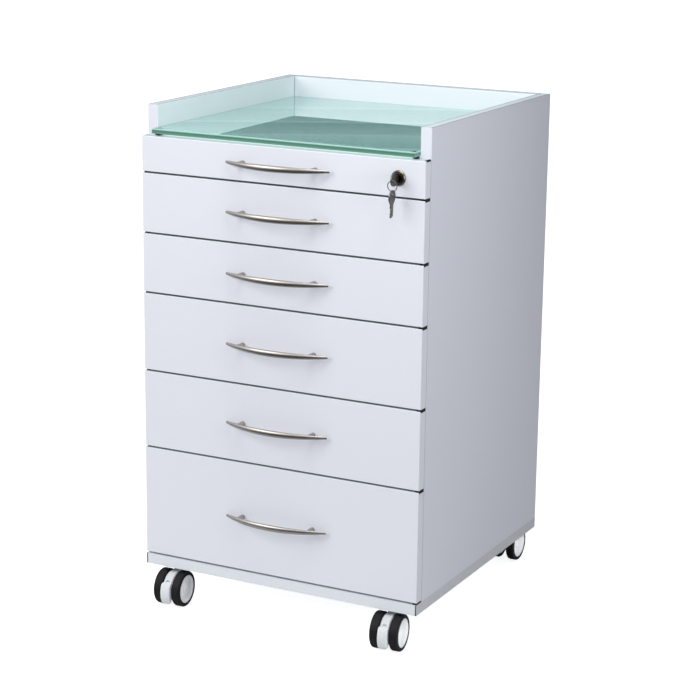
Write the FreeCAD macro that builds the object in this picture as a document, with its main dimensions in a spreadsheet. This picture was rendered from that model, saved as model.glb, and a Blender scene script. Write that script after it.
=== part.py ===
import FreeCAD, Part
import Sketcher
import math
import os
import re

# A mobile cabinet: six drawers on telescopic slides, a glass worktop inside a low gallery, four castors.
# Millimetres and degrees. +Z is up, the drawers open towards -Y, and the origin lies on the floor
# in the middle of the footprint.

SIZES = {
    # carcass boards
    "cabinet_width": 500,
    "cabinet_depth": 490,
    "side_thick": 18,
    "back_thick": 18,
    "base_thick": 18,
    "top_thick": 18,
    # drawer fronts, and the air round them
    "front_thick": 18,
    "front_setoff": 1.5,
    "front_gap": 3,
    "front_rounding": 1,
    "deep_front": 182.5,
    "medium_front": 127.5,
    "small_front": 95.5,
    "top_front": 57,
    # glass worktop inside the gallery
    "glass_thick": 8,
    "glass_gap": 4.5,
    "glass_clearance": 1,
    "glass_chamfer": 0.8,
    "gallery_height": 35.5,
    # drawer boxes
    "box_wall": 12,
    "box_lift": 5,
    "box_drop": 24,
    "back_clearance": 6,
    "bottom_thick": 4,
    "bottom_ledge": 6,
    "bottom_fit": 0.2,
    # telescopic slides
    "slide_length": 400,
    "slide_height": 30,
    "slide_room": 12.7,
    "slide_sheet": 1.2,
    "slide_fit": 0.4,
    "slide_setback": 2,
    "slide_lift": 1,
    # bow handles
    "post_spacing": 128,
    "post_diameter": 8,
    "bow_length": 182,
    "bow_reach": 28,
    "bow_rise": 23,
    "bar_height": 10.5,
    "bar_thick": 6.5,
    "tip_height": 4.5,
    "tip_thick": 3.5,
    # handle screws
    "screw_diameter": 3.9,
    "screw_play": 0.1,
    "screw_grip": 8,
    "screw_head": 7.5,
    "head_depth": 3,
    # cam lock and keys
    "lock_inset": 44.5,
    "bezel_diameter": 24,
    "bezel_proud": 3,
    "bezel_chamfer": 1.5,
    "barrel_diameter": 18,
    "barrel_tail": 5,
    "plug_diameter": 13,
    "plug_recess": 0.5,
    "lock_play": 0.1,
    "nut_width": 23,
    "nut_thick": 3,
    "cam_thick": 2,
    "cam_width": 11,
    "cam_end_radius": 6,
    "tongue_length": 20,
    "tongue_play": 1.5,
    "notch_play": 2,
    "key_thick": 2,
    "key_bow_diameter": 21,
    "key_blade": 8,
    "key_shoulder": 8,
    "key_neck": 12,
    "key_length": 32,
    "key_tip": 2.5,
    "key_cut_pitch": 4.5,
    "key_low_cut": 1.5,
    "key_middle_cut": 2.2,
    "key_deep_cut": 2.8,
    "key_hole": 5,
    "key_hole_offset": 5,
    "key_gap": 3,
    "keyway_play": 0.2,
    "keyway_end": 1,
    "ring_diameter": 15.5,
    "ring_wire": 1.4,
    "ring_play": 0.3,
    # castors
    "castor_headroom": 5,
    "castor_inset_x": 50,
    "castor_inset_y": 28,
    "castor_width": 48,
    "castor_trail": 24,
    "wheel_diameter": 60,
    "wheel_width": 15,
    "wheel_gap": 1,
    "tyre_rounding": 3,
    "hub_diameter": 47,
    "hub_face_step": 0.8,
    "hub_setback": 0.5,
    "hub_rim": 2.5,
    "hub_rim_slope": 1.5,
    "hub_ring_radius": 13.5,
    "hub_ring_slope": 1.2,
    "hub_boss_radius": 6.4,
    "hub_boss_slope": 1.4,
    "hub_cap": 6,
    "axle_diameter": 6,
    "axle_play": 0.1,
    "axle_wall": 6,
    "axle_end_inset": 8,
    "plate_side": 42,
    "plate_thick": 2.5,
    "plate_hole_spacing": 32,
    "pin_diameter": 8,
    "pin_length": 16,
    "pin_gap": 0.5,
    "hood_inset": 2.5,
    "hood_front_angle": 35,
    "hood_boss_angle": 37,
    "hood_rear_rise": 10,
    "housing_width": 24,
    "pin_room": 1,
    "hood_bevel": 1.5,
    "pedal_gap": 0.4,
    "pedal_sheet": 5.5,
    "pedal_rounding": 1,
    "pedal_top_thick": 1,
    "pedal_top_taper": 10,
    "pedal_end_radius": 5.5,
    "pedal_rise": 30,
    "pedal_drop": 40,
    "pedal_travel": 5,
    "pedal_pin": 3,
    "pedal_pin_depth": 6.5,
    "pedal_pin_angle": 40,
    "pedal_pin_inset": 0.5,
    "pedal_pin_wall": 2.7,
    "pedal_arm": 5,
    "pedal_arm_play": 0.3,
    "pedal_arm_root": 1,
    "pedal_arm_high": 27,
    "pedal_arm_low": 8,
    "arm_slot_floor": 2,
    "castor_screw": 4,
    "castor_screw_length": 14,
    "castor_screw_head": 7.2,
    "castor_head_depth": 1.6,
    "pilot_room": 1,
    "front_left_yaw": 3,
    "front_right_yaw": 5,
}

doc = FreeCAD.newDocument("mobile_cabinet")
sheet = doc.addObject("Spreadsheet::Sheet", "Sizes")
for row, (alias, number) in enumerate(SIZES.items(), start=1):
    sheet.set(f"A{row}", alias)
    sheet.set(f"B{row}", str(number))
    sheet.setAlias(f"B{row}", alias)
doc.recompute()

# Places that several pieces share, written as formulas in the sheet's names.
INNER_X = "(cabinet_width / 2 - side_thick)"
REAR_REACH = "(cabinet_depth - castor_inset_y + castor_trail + wheel_diameter / 2)"
FRONT_REACH = "(bow_reach + bar_thick / 2)"
FRONT_Y = f"((({FRONT_REACH}) - ({REAR_REACH})) / 2)"
BACK_Y = f"({FRONT_Y} + cabinet_depth)"
CARCASS_Y = f"({FRONT_Y} + front_thick + front_setoff)"
INNER_BACK_Y = f"({BACK_Y} - back_thick)"
CASTOR_TOP_Z = "(wheel_diameter + castor_headroom)"
BASE_TOP_Z = f"({CASTOR_TOP_Z} + base_thick)"
BOX_X = f"({INNER_X} - slide_room)"
BOX_DEPTH = "(cabinet_depth - back_thick - back_clearance - front_thick)"
WHEEL_RADIUS = "(wheel_diameter / 2)"
HOOD_RADIUS = "(wheel_diameter / 2 - hood_inset)"
HOOD_WIDTH = "(castor_width - 2 * wheel_width - 2 * wheel_gap)"
HOUSING_TOP_Z = f"({CASTOR_TOP_Z} - plate_thick - pin_gap)"

# The six fronts from the bottom up: each stands one gap above the board or front under it.
FRONT_KINDS = ["deep_front", "medium_front", "medium_front", "small_front", "small_front", "top_front"]


def front_bottom(level):
    """Height of a front's lower edge, counted from the lowest front, which is level 0."""
    below = [BASE_TOP_Z] + FRONT_KINDS[:level]
    return "(" + " + ".join(below) + f" + {level + 1} * front_gap)"


FRONTS_TOP_Z = f"({front_bottom(5)} + top_front)"
GLASS_BOTTOM_Z = f"({FRONTS_TOP_Z} + glass_gap)"
TOTAL_HEIGHT = f"({GLASS_BOTTOM_Z} + glass_thick + gallery_height)"
LOCK_X = "(cabinet_width / 2 - lock_inset)"
LOCK_Z = f"({front_bottom(5)} + top_front / 2)"


def ref(formula):
    """A formula in plain size names, turned into one that points at the sheet's cells."""
    return re.sub(r"[a-z_]{3,}", lambda word: "Sizes." + word[0] if word[0] in SIZES else word[0], formula)


def value(formula):
    """The number that a formula gives with the sheet as it stands."""
    return float(sheet.evalExpression(ref(str(formula))))


def bind(thing, **formulas):
    """Ties properties of an object to formulas."""
    for name, formula in formulas.items():
        thing.setExpression(name, ref(str(formula)))


def place(thing, x="0", y="0", z="0"):
    """Ties an object's place to three formulas."""
    for letter, formula in zip("xyz", (x, y, z)):
        thing.setExpression(f"Placement.Base.{letter}", ref(str(formula)))
    return thing


def turned(thing, axis, angle):
    """Sets the fixed turn of an object about a main axis."""
    thing.Placement = FreeCAD.Placement(thing.Placement.Base, FreeCAD.Rotation(FreeCAD.Vector(*axis), angle))
    return thing


nodes = []


def node(thing):
    """Marks an object as a finished piece, written under its own name."""
    thing.Label = thing.Name
    nodes.append(thing)
    return thing


# ---------------------------------------------------------------- plain solids and booleans

def block(name, size, low):
    """A box given by its size and its lowest corner."""
    box = doc.addObject("Part::Box", name)
    bind(box, Length=size[0], Width=size[1], Height=size[2])
    return place(box, *low)


def cylinder(name, radius, height, low=("0", "0", "0"), axis=None, angle=0):
    """A cylinder that stands on a point, along +Z unless it is turned."""
    rod = doc.addObject("Part::Cylinder", name)
    bind(rod, Radius=radius, Height=height)
    if axis:
        turned(rod, axis, angle)
    return place(rod, *low)


def fuse(name, *pieces):
    whole = doc.addObject("Part::MultiFuse", name)
    whole.Shapes = list(pieces)
    return whole


def cut(name, base, *tools):
    left = doc.addObject("Part::Cut", name)
    left.Base = base
    left.Tool = tools[0] if len(tools) == 1 else fuse(name + "_tools", *tools)
    return left


def common(name, base, tool):
    """What two shapes share."""
    feature = doc.addObject("Part::Common", name)
    feature.Base = base
    feature.Tool = tool
    return feature


def group(name, *pieces):
    """One finished piece or set of like pieces, kept as separate solids."""
    bundle = doc.addObject("Part::Compound", name)
    bundle.Links = list(pieces)
    return node(bundle)


def copy_of(master, name, low=("0", "0", "0"), axis=(0, 0, 1), angle="0"):
    """A linked copy of a master piece, placed and turned by formulas on top of the master's own place."""
    twin = doc.addObject("App::Link", name)
    twin.LinkedObject = master
    twin.LinkTransform = True
    twin.Placement = FreeCAD.Placement(FreeCAD.Vector(), FreeCAD.Rotation(FreeCAD.Vector(*axis), 1))
    twin.setExpression("Placement.Rotation.Angle", ref(str(angle)))
    return place(twin, *low)


# ---------------------------------------------------------------- sketches and features

def new_body(name):
    return doc.addObject("PartDesign::Body", name)


def sketch_on(body, plane, name, shift=None):
    """A sketch on one of the body's own origin planes, moved along the plane's normal if asked."""
    sketch = body.newObject("Sketcher::SketchObject", name)
    origin_plane = next(item for item in body.Origin.OriginFeatures if item.Role == plane + "_Plane")
    sketch.AttachmentSupport = [(origin_plane, "")]
    sketch.MapMode = "FlatFace"
    if shift:
        sketch.setExpression("AttachmentOffset.Base.z", ref(shift))
    return sketch


def arc_between(start, end, radius, bulge):
    """The arc from start to end that bulges to the left (bulge 1) or to the right (bulge -1)."""
    chord = end - start
    half = chord.Length / 2
    rise = radius - math.sqrt(max(radius * radius - half * half, 0))
    if abs(bulge) > 1:
        rise = 2 * radius - rise
    side = FreeCAD.Vector(-chord.y, chord.x, 0).normalize() * (1 if bulge > 0 else -1)
    middle = (start + end) * 0.5 + side * rise
    return Part.Arc(start, middle, end)


def nearest_end(sketch, edge, spot):
    """Which end of an edge, 1 or 2, lies at a point."""
    return min((1, 2), key=lambda end: (sketch.getPoint(edge, end) - spot).Length)


def outline(sketch, corners, arcs=None):
    """A closed outline through corners given as pairs of formulas.

    arcs maps the number of an edge to its radius and bulge: 1 left, -1 right, and 2 or -2 for the
    longer way round.
    """
    arcs = arcs or {}
    first = sketch.GeometryCount
    spots = [FreeCAD.Vector(value(across), value(along), 0) for across, along in corners]
    count = len(spots)
    for edge, start in enumerate(spots):
        end = spots[(edge + 1) % count]
        if edge in arcs:
            radius, bulge = arcs[edge]
            sketch.addGeometry(arc_between(start, end, value(radius), bulge), False)
        else:
            sketch.addGeometry(Part.LineSegment(start, end), False)
    for corner, (across, along) in enumerate(corners):
        here = first + corner
        before = first + (corner - 1) % count
        spot = spots[corner]
        end_here = nearest_end(sketch, here, spot)
        end_before = nearest_end(sketch, before, spot)
        sketch.addConstraint(Sketcher.Constraint("Coincident", before, end_before, here, end_here))
        for kind, formula, number in (("DistanceX", across, spot.x), ("DistanceY", along, spot.y)):
            index = sketch.addConstraint(Sketcher.Constraint(kind, -1, 1, here, end_here, number))
            sketch.setExpression(f"Constraints[{index}]", ref(str(formula)))
    for edge, (radius, bulge) in arcs.items():
        index = sketch.addConstraint(Sketcher.Constraint("Radius", first + edge, value(radius)))
        sketch.setExpression(f"Constraints[{index}]", ref(str(radius)))


def rectangle(sketch, low, high):
    outline(sketch, [low, (high[0], low[1]), high, (low[0], high[1])])


def circle(sketch, centre, radius):
    """A circle with its centre and radius tied to formulas."""
    middle = FreeCAD.Vector(value(centre[0]), value(centre[1]), 0)
    number = sketch.addGeometry(Part.Circle(middle, FreeCAD.Vector(0, 0, 1), value(radius)), False)
    index = sketch.addConstraint(Sketcher.Constraint("Radius", number, value(radius)))
    sketch.setExpression(f"Constraints[{index}]", ref(str(radius)))
    for kind, formula, start in (("DistanceX", centre[0], middle.x), ("DistanceY", centre[1], middle.y)):
        index = sketch.addConstraint(Sketcher.Constraint(kind, -1, 1, number, 3, start))
        sketch.setExpression(f"Constraints[{index}]", ref(str(formula)))


def pad(body, sketch, name, length, reverse=False, both_ways=False):
    feature = body.newObject("PartDesign::Pad", name)
    feature.Profile = sketch
    feature.Reversed = reverse
    feature.SideType = "Symmetric" if both_ways else "One side"
    bind(feature, Length=length)
    doc.recompute()
    return feature


def pocket(body, sketch, name, depth=None, reverse=False, both_ways=False):
    """A cut to a depth, or right through when no depth is given."""
    feature = body.newObject("PartDesign::Pocket", name)
    feature.Profile = sketch
    feature.Reversed = reverse
    feature.SideType = "Symmetric" if both_ways else "One side"
    if depth is None:
        feature.Type = "ThroughAll"
    else:
        bind(feature, Length=depth)
    doc.recompute()
    return feature


def revolve(body, sketch, name, axis, angle="360"):
    feature = body.newObject("PartDesign::Revolution", name)
    feature.Profile = sketch
    feature.ReferenceAxis = (sketch, [axis])
    bind(feature, Angle=angle)
    doc.recompute()
    return feature


def furthest_face(shape, direction):
    """The name of the face that lies furthest in a direction."""
    way = FreeCAD.Vector(*direction)
    faces = shape.Faces
    furthest = max(range(len(faces)), key=lambda number: faces[number].CenterOfMass.dot(way))
    return f"Face{furthest + 1}"


def round_face(body, base, name, direction, radius):
    """Rounds every edge of the face that lies furthest in a direction."""
    feature = body.newObject("PartDesign::Fillet", name)
    feature.Base = (base, [furthest_face(base.Shape, direction)])
    bind(feature, Radius=radius)
    doc.recompute()
    return feature


def bevel_faces(body, base, name, directions, size):
    """Bevels every edge of the faces that lie furthest in each of the directions."""
    feature = body.newObject("PartDesign::Chamfer", name)
    feature.Base = (base, [furthest_face(base.Shape, direction) for direction in directions])
    bind(feature, Size=size)
    doc.recompute()
    return feature


# ---------------------------------------------------------------- carcass

def make_carcass():
    """Boards of the carcass and the glass worktop that lies between the sides."""
    depth = f"({BACK_Y} - {CARCASS_Y})"
    side_height = f"({TOTAL_HEIGHT} - {BASE_TOP_Z})"
    left_x = "(-cabinet_width / 2)"
    base = block("base_sheet", ("cabinet_width", "cabinet_depth", "base_thick"), (left_x, FRONT_Y, CASTOR_TOP_Z))
    pilot = cylinder("pilot_hole", "castor_screw / 2 + screw_play / 2", "castor_screw_length - plate_thick + pilot_room")
    pilots = doc.addObject("Part::Compound", "pilot_holes")
    pilots.Links = at_castor_screws(pilot, "pilot", CASTOR_TOP_Z)
    node(cut("base_board", base, pilots))
    node(block("side_panel_left", ("side_thick", depth, side_height), (left_x, CARCASS_Y, BASE_TOP_Z)))
    node(block("side_panel_right", ("side_thick", depth, side_height), (INNER_X, CARCASS_Y, BASE_TOP_Z)))
    inner_width = f"(2 * {INNER_X})"
    back_low = (f"-{INNER_X}", INNER_BACK_Y, BASE_TOP_Z)
    node(block("back_panel", (inner_width, "back_thick", side_height), back_low))
    top_low = (f"-{INNER_X}", CARCASS_Y, f"({GLASS_BOTTOM_Z} - top_thick)")
    board = block("top_board", (inner_width, f"{INNER_BACK_Y} - {CARCASS_Y}", "top_thick"), top_low)
    node(cut("top_panel", board, block("tongue_slot", TONGUE_SLOT_SIZE, TONGUE_SLOT_LOW)))
    glass = node(new_body("glass_top"))
    outline_sketch = sketch_on(glass, "XY", "glass_outline")
    half = f"({INNER_X} - glass_clearance)"
    rectangle(outline_sketch, (f"-{half}", "0"), (half, f"{INNER_BACK_Y} - {FRONT_Y} - glass_clearance"))
    plate = pad(glass, outline_sketch, "glass_plate", "glass_thick")
    bevel_faces(glass, plate, "ground_edge", [(0, 0, 1)], "glass_chamfer")
    place(glass, "0", FRONT_Y, GLASS_BOTTOM_Z)


# The lock's tongue turns up into this slot in the underside of the top panel.
CAM_Y = f"({FRONT_Y} + front_thick + barrel_tail)"
TONGUE_SLOT_LOW = (
    f"({LOCK_X} - tongue_length - tongue_play)",
    f"({CAM_Y} - tongue_play)",
    f"({GLASS_BOTTOM_Z} - top_thick)",
)
TONGUE_SLOT_SIZE = (
    "(tongue_length + cam_width / 2 + 2 * tongue_play)",
    "(cam_thick + 2 * tongue_play)",
    f"({LOCK_Z} + tongue_length + tongue_play - {TONGUE_SLOT_LOW[2]})",
)


# ---------------------------------------------------------------- telescopic slides

def channel(name, back, reach, half_height):
    """A sheet channel along +Y: its web starts at x = back, its flanges run to x = reach."""
    body = new_body(name)
    profile = sketch_on(body, "XZ", name + "_profile")
    web = f"({back} + ({reach} > {back} ? slide_sheet : -slide_sheet))"
    inner = f"({half_height} - slide_sheet)"
    outline(profile, [
        (back, f"-{half_height}"), (back, half_height), (reach, half_height), (reach, inner),
        (web, inner), (web, f"-{inner}"), (reach, f"-{inner}"), (reach, f"-{half_height}"),
    ])
    pad(body, profile, name + "_length", "slide_length", reverse=True)
    return body


def make_slide_masters():
    """Three channels nested in each other, drawn for the right side: x = 0 is the side panel's face."""
    step = "(slide_sheet + slide_fit)"
    flange_end = f"(-slide_room + {step} + slide_fit)"
    cabinet = channel("cabinet_channel", "0", flange_end, "(slide_height / 2)")
    middle = channel("middle_channel", f"(-{step})", flange_end, f"(slide_height / 2 - {step})")
    inner_end = f"(-2 * {step} - slide_fit)"
    drawer = channel("drawer_channel", "(-slide_room)", inner_end, f"(slide_height / 2 - 2 * {step})")
    return cabinet, middle, drawer


def slide_z(level):
    return f"({front_bottom(level)} + box_lift + slide_lift + slide_height / 2)"


def slide_pair(master, name, level):
    """The same channel on the right side and, turned over, on the left side."""
    y = f"({CARCASS_Y} + slide_setback)"
    right = copy_of(master, name + "_right", (INNER_X, y, slide_z(level)))
    left = copy_of(master, name + "_left", (f"(-{INNER_X})", y, slide_z(level)), (0, 1, 0), "180")
    return [right, left]


# ---------------------------------------------------------------- drawers

def make_front(level, name):
    """A drawer front with rounded edges and two counterbored holes for the handle's screws."""
    body = node(new_body(name))
    height = FRONT_KINDS[level]
    face = sketch_on(body, "XZ", name + "_face")
    rectangle(face, ("-cabinet_width / 2", "0"), ("cabinet_width / 2", height))
    board = pad(body, face, name + "_board", "front_thick", reverse=True)
    round_face(body, board, name + "_edges", (0, -1, 0), "front_rounding")
    holes = sketch_on(body, "XZ", name + "_screw_holes")
    for side in ("-", ""):
        circle(holes, (f"{side}post_spacing / 2", f"{height} / 2"), "screw_diameter / 2 + screw_play / 2")
    pocket(body, holes, name + "_drilled")
    seats = sketch_on(body, "XZ", name + "_head_seats", shift="-front_thick")
    for side in ("-", ""):
        circle(seats, (f"{side}post_spacing / 2", f"{height} / 2"), "screw_head / 2 + screw_play")
    pocket(body, seats, name + "_counterbored", "head_depth + screw_play", reverse=True)
    if level == 5:
        lock_hole = sketch_on(body, "XZ", name + "_lock_hole")
        circle(lock_hole, (LOCK_X, f"{height} / 2"), "barrel_diameter / 2 + lock_play / 2")
        pocket(body, lock_hole, name + "_lock_bore")
    return place(body, "0", FRONT_Y, front_bottom(level))


def make_box(level, name):
    """A drawer box: four walls in one frame, rebated underneath for a separate bottom panel."""
    height = f"({FRONT_KINDS[level]} - box_lift - box_drop)"
    half = BOX_X
    inside = f"({BOX_X} - box_wall)"
    body = new_body(name + "_walls")
    outer = sketch_on(body, "XY", name + "_outer")
    rectangle(outer, (f"-{half}", "0"), (half, BOX_DEPTH))
    pad(body, outer, name + "_block", height)
    inner = sketch_on(body, "XY", name + "_inner")
    rectangle(inner, (f"-{inside}", "box_wall"), (inside, f"{BOX_DEPTH} - box_wall"))
    pocket(body, inner, name + "_hollow", reverse=True)
    ledge = "(box_wall - bottom_ledge)"
    rebate = sketch_on(body, "XY", name + "_rebate")
    rectangle(rebate, (f"-({half} - {ledge})", ledge), (f"{half} - {ledge}", f"{BOX_DEPTH} - {ledge}"))
    pocket(body, rebate, name + "_rebated", "bottom_thick", reverse=True)
    if level == 5:
        notch = sketch_on(body, "XZ", name + "_notch")
        low_z = f"{LOCK_Z} - {BOX_BOTTOM[level]} - nut_width / 2 - notch_play"
        high = (f"{LOCK_X} + nut_width / 2 + notch_play", f"{height} + notch_play")
        rectangle(notch, (f"{LOCK_X} - tongue_length - tongue_play", low_z), high)
        pocket(body, notch, name + "_lock_notch", "box_wall")
    place(body, "0", f"{FRONT_Y} + front_thick", BOX_BOTTOM[level])
    panel_edge = f"({ledge} + bottom_fit)"
    size = (f"2 * ({half} - {panel_edge})", f"{BOX_DEPTH} - 2 * {panel_edge}", "bottom_thick")
    low = (f"-({half} - {panel_edge})", f"{FRONT_Y} + front_thick + {panel_edge}", BOX_BOTTOM[level])
    return group(name, body, block(name + "_bottom", size, low))


BOX_BOTTOM = [f"({front_bottom(level)} + box_lift)" for level in range(6)]


def bow_radius():
    """Radius of the arc that the bow's centre line follows."""
    half = value("bow_length / 2")
    rise = value("bow_rise")
    return (half * half + rise * rise) / (2 * rise)


def bow_depth(across):
    """How far the bow's centre line stands off the front, at a distance from its middle."""
    radius = bow_radius()
    return value("bow_reach") - radius + math.sqrt(radius * radius - across * across)


def make_handle():
    """The bow handle: an oval bar, deepest in the middle and tapered to its tips, on two round posts."""
    half = value("bow_length / 2")
    upright = FreeCAD.Rotation(FreeCAD.Vector(0, 0, 1), FreeCAD.Vector(1, 0, 0))
    rings = []
    stations = 8
    for station in range(stations + 1):
        part = 2 * station / stations - 1
        across = part * half
        taper = 1 - part * part
        tall = value("tip_height") + (value("bar_height") - value("tip_height")) * taper
        deep = value("tip_thick") + (value("bar_thick") - value("tip_thick")) * taper
        lean = FreeCAD.Rotation(FreeCAD.Vector(0, 0, 1), math.degrees(math.asin(across / bow_radius())))
        oval = Part.Wire([Part.Ellipse(FreeCAD.Vector(), tall / 2, deep / 2).toShape()])
        oval.Placement = FreeCAD.Placement(FreeCAD.Vector(across, -bow_depth(across), 0), lean * upright)
        rings.append(oval)
    solid = Part.makeLoft(rings, True)
    for side in (-1, 1):
        across = side * value("post_spacing / 2")
        length = bow_depth(across)
        foot = FreeCAD.Vector(across, 0, 0)
        post = Part.makeCylinder(value("post_diameter / 2"), length, foot, FreeCAD.Vector(0, -1, 0))
        solid = solid.fuse(post)
    for side in (-1, 1):
        foot = FreeCAD.Vector(side * value("post_spacing / 2"), 0, 0)
        bore = value("screw_diameter / 2 + screw_play / 2")
        hole = Part.makeCylinder(bore, value("screw_grip + screw_play"), foot, FreeCAD.Vector(0, -1, 0))
        solid = solid.cut(hole)
    handle = doc.addObject("Part::Feature", "handle_master")
    handle.Shape = solid.removeSplitter()
    return handle


def make_screw():
    """A handle screw along -Y: its head starts at y = 0 and its shank runs on to the post."""
    head = cylinder("screw_head_disc", "screw_head / 2", "head_depth", axis=(1, 0, 0), angle=90)
    length = "(front_thick + screw_grip)"
    shank = cylinder("screw_shank", "screw_diameter / 2", length, axis=(1, 0, 0), angle=90)
    return fuse("screw_master", head, shank)


def make_drawer(level, masters):
    """One drawer: front, box, handle with its screws, and the slide members that move with it."""
    name = f"drawer_{6 - level}"
    make_front(level, name + "_front")
    make_box(level, name + "_box")
    centre_z = f"({front_bottom(level)} + {FRONT_KINDS[level]} / 2)"
    bow = copy_of(masters["handle"], name + "_bow", ("0", FRONT_Y, centre_z))
    screws = [
        copy_of(masters["screw"], f"{name}_screw_{side}", (x, f"({FRONT_Y} + front_thick)", centre_z))
        for side, x in (("left", "(-post_spacing / 2)"), ("right", "(post_spacing / 2)"))
    ]
    group(name + "_handle", bow, *screws)
    group(name + "_slide_middle", *slide_pair(masters["middle"], name + "_middle", level))
    group(name + "_slide_inner", *slide_pair(masters["drawer"], name + "_inner", level))


# ---------------------------------------------------------------- lock and keys

def make_lock():
    """Cylinder with its bezel and nut, and the turning plug with the cam on its tail."""
    shell = new_body("lock_shell")
    profile = sketch_on(shell, "XY", "lock_profile")
    bore = "(plug_diameter / 2 + lock_play / 2)"
    barrel = "(barrel_diameter / 2)"
    tail = "(front_thick + barrel_tail - lock_play)"
    outline(profile, [
        (bore, "-bezel_proud"), ("bezel_diameter / 2 - bezel_chamfer", "-bezel_proud"),
        ("bezel_diameter / 2", "-bezel_proud + bezel_chamfer"), ("bezel_diameter / 2", "0"),
        (barrel, "0"), (barrel, tail), (bore, tail),
    ])
    revolve(shell, profile, "lock_turned", "V_Axis")
    place(shell, LOCK_X, FRONT_Y, LOCK_Z)
    hexagon = doc.addObject("Part::Prism", "nut_hexagon")
    hexagon.Polygon = 6
    bind(hexagon, Circumradius="nut_width / 2 / cos(30 deg)", Height="nut_thick")
    turned(hexagon, (1, 0, 0), -90)
    nut_y = f"({FRONT_Y} + front_thick)"
    place(hexagon, LOCK_X, nut_y, LOCK_Z)
    thread = cylinder("nut_thread", f"{barrel} + lock_play / 2", "nut_thick", (LOCK_X, nut_y, LOCK_Z), (1, 0, 0), -90)
    group("lock_cylinder", shell, cut("lock_nut", hexagon, thread))

    plug = new_body("plug_barrel")
    round_profile = sketch_on(plug, "XZ", "plug_round", shift="bezel_proud - plug_recess")
    circle(round_profile, ("0", "0"), "plug_diameter / 2")
    pad(plug, round_profile, "plug_length", "bezel_proud - plug_recess + front_thick + barrel_tail", reverse=True)
    keyway = sketch_on(plug, "XZ", "keyway", shift="bezel_proud")
    half_width = "(key_thick / 2 + keyway_play)"
    half_height = "(key_blade / 2 + keyway_play)"
    rectangle(keyway, (f"-{half_width}", f"-{half_height}"), (half_width, half_height))
    pocket(plug, keyway, "keyway_cut", f"({KEY_TIP_Y} - {FRONT_Y} + bezel_proud + keyway_end)")
    place(plug, LOCK_X, FRONT_Y, LOCK_Z)
    cam = new_body("cam_tongue")
    tongue = sketch_on(cam, "XZ", "tongue_outline")
    half = "(cam_width / 2)"
    straight = f"(-tongue_length + {half} / 2)"
    outline(tongue, [
        (straight, f"-{half}"), ("0", f"-{half}"), ("0", half), (straight, half),
        ("-tongue_length", f"{half} / 2"), ("-tongue_length", f"-{half} / 2"),
    ], {1: ("cam_end_radius", -1)})
    pad(cam, tongue, "tongue_sheet", "cam_thick", reverse=True)
    place(cam, LOCK_X, CAM_Y, LOCK_Z)
    group("lock_plug", plug, cam)


KEY_BOW_Y = f"({FRONT_Y} - bezel_proud - key_gap - key_bow_diameter / 2)"
KEY_TIP_Y = f"({KEY_BOW_Y} + key_length)"
WIRE_DROP = "(key_hole / 2 - ring_wire / 2 - ring_play)"
RING_Y = f"({KEY_BOW_Y} - key_hole_offset)"
RING_Z = f"({LOCK_Z} - {WIRE_DROP} - ring_diameter / 2)"


def make_key_master():
    """A flat key along +Y in the YZ plane, with the middle of its round bow at the origin."""
    body = new_body("key_master")
    shape = sketch_on(body, "YZ", "key_outline")
    blade = "(key_blade / 2)"
    cuts = []
    for number, depth in enumerate(("key_middle_cut", "key_deep_cut", "key_low_cut")):
        start = f"(key_length - key_tip - {number} * key_cut_pitch)"
        cuts += [(start, f"-{blade}"), (f"{start} - key_cut_pitch / 2", f"-{blade} + {depth}")]
    last = f"(key_length - key_tip - {len(cuts) // 2} * key_cut_pitch)"
    shoulder_z = "sqrt((key_bow_diameter / 2) ^ 2 - key_shoulder ^ 2)"
    corners = [
        ("key_shoulder", shoulder_z), ("key_neck", blade), ("key_length - key_tip", blade),
        ("key_length", f"-{blade} / 2"), *cuts, (last, f"-{blade}"), ("key_neck", f"-{blade}"),
        ("key_shoulder", f"-{shoulder_z}"),
    ]
    outline(shape, corners, {len(corners) - 1: ("key_bow_diameter / 2", 2)})
    pad(body, shape, "key_sheet", "key_thick", both_ways=True)
    hole = sketch_on(body, "YZ", "key_ring_hole")
    circle(hole, ("-key_hole_offset", "0"), "key_hole / 2")
    pocket(body, hole, "key_drilled", both_ways=True)
    return body


def make_keys():
    """The key in the lock and the ring that hangs in its bow."""
    master = make_key_master()
    group("lock_key", copy_of(master, "key_in_lock", (LOCK_X, KEY_BOW_Y, LOCK_Z)))
    ring = node(doc.addObject("Part::Torus", "key_ring"))
    bind(ring, Radius1="ring_diameter / 2", Radius2="ring_wire / 2")
    turned(ring, (1, 0, 0), 90)
    place(ring, LOCK_X, RING_Y, RING_Z)


# ---------------------------------------------------------------- castors

def make_plate_master():
    """A fixed plate with four countersunk holes and the pin that the hood swivels on."""
    body = new_body("plate_master")
    face = sketch_on(body, "XY", "plate_face")
    half = "(plate_side / 2)"
    rectangle(face, (f"-{half}", f"-{half}"), (half, half))
    pad(body, face, "plate_sheet", "plate_thick")
    pin = sketch_on(body, "XY", "plate_pin")
    circle(pin, ("0", "0"), "pin_diameter / 2")
    pad(body, pin, "plate_pin_length", "pin_length", reverse=True)
    holes = sketch_on(body, "XY", "plate_holes")
    for x, y in SCREW_SPOTS:
        circle(holes, (x, y), "castor_screw / 2 + screw_play / 2")
    pocket(body, holes, "plate_drilled", reverse=True)
    return body


SCREW_SPOTS = [(f"{x}plate_hole_spacing / 2", f"{y}plate_hole_spacing / 2") for x in ("-", "") for y in ("-", "")]


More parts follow.
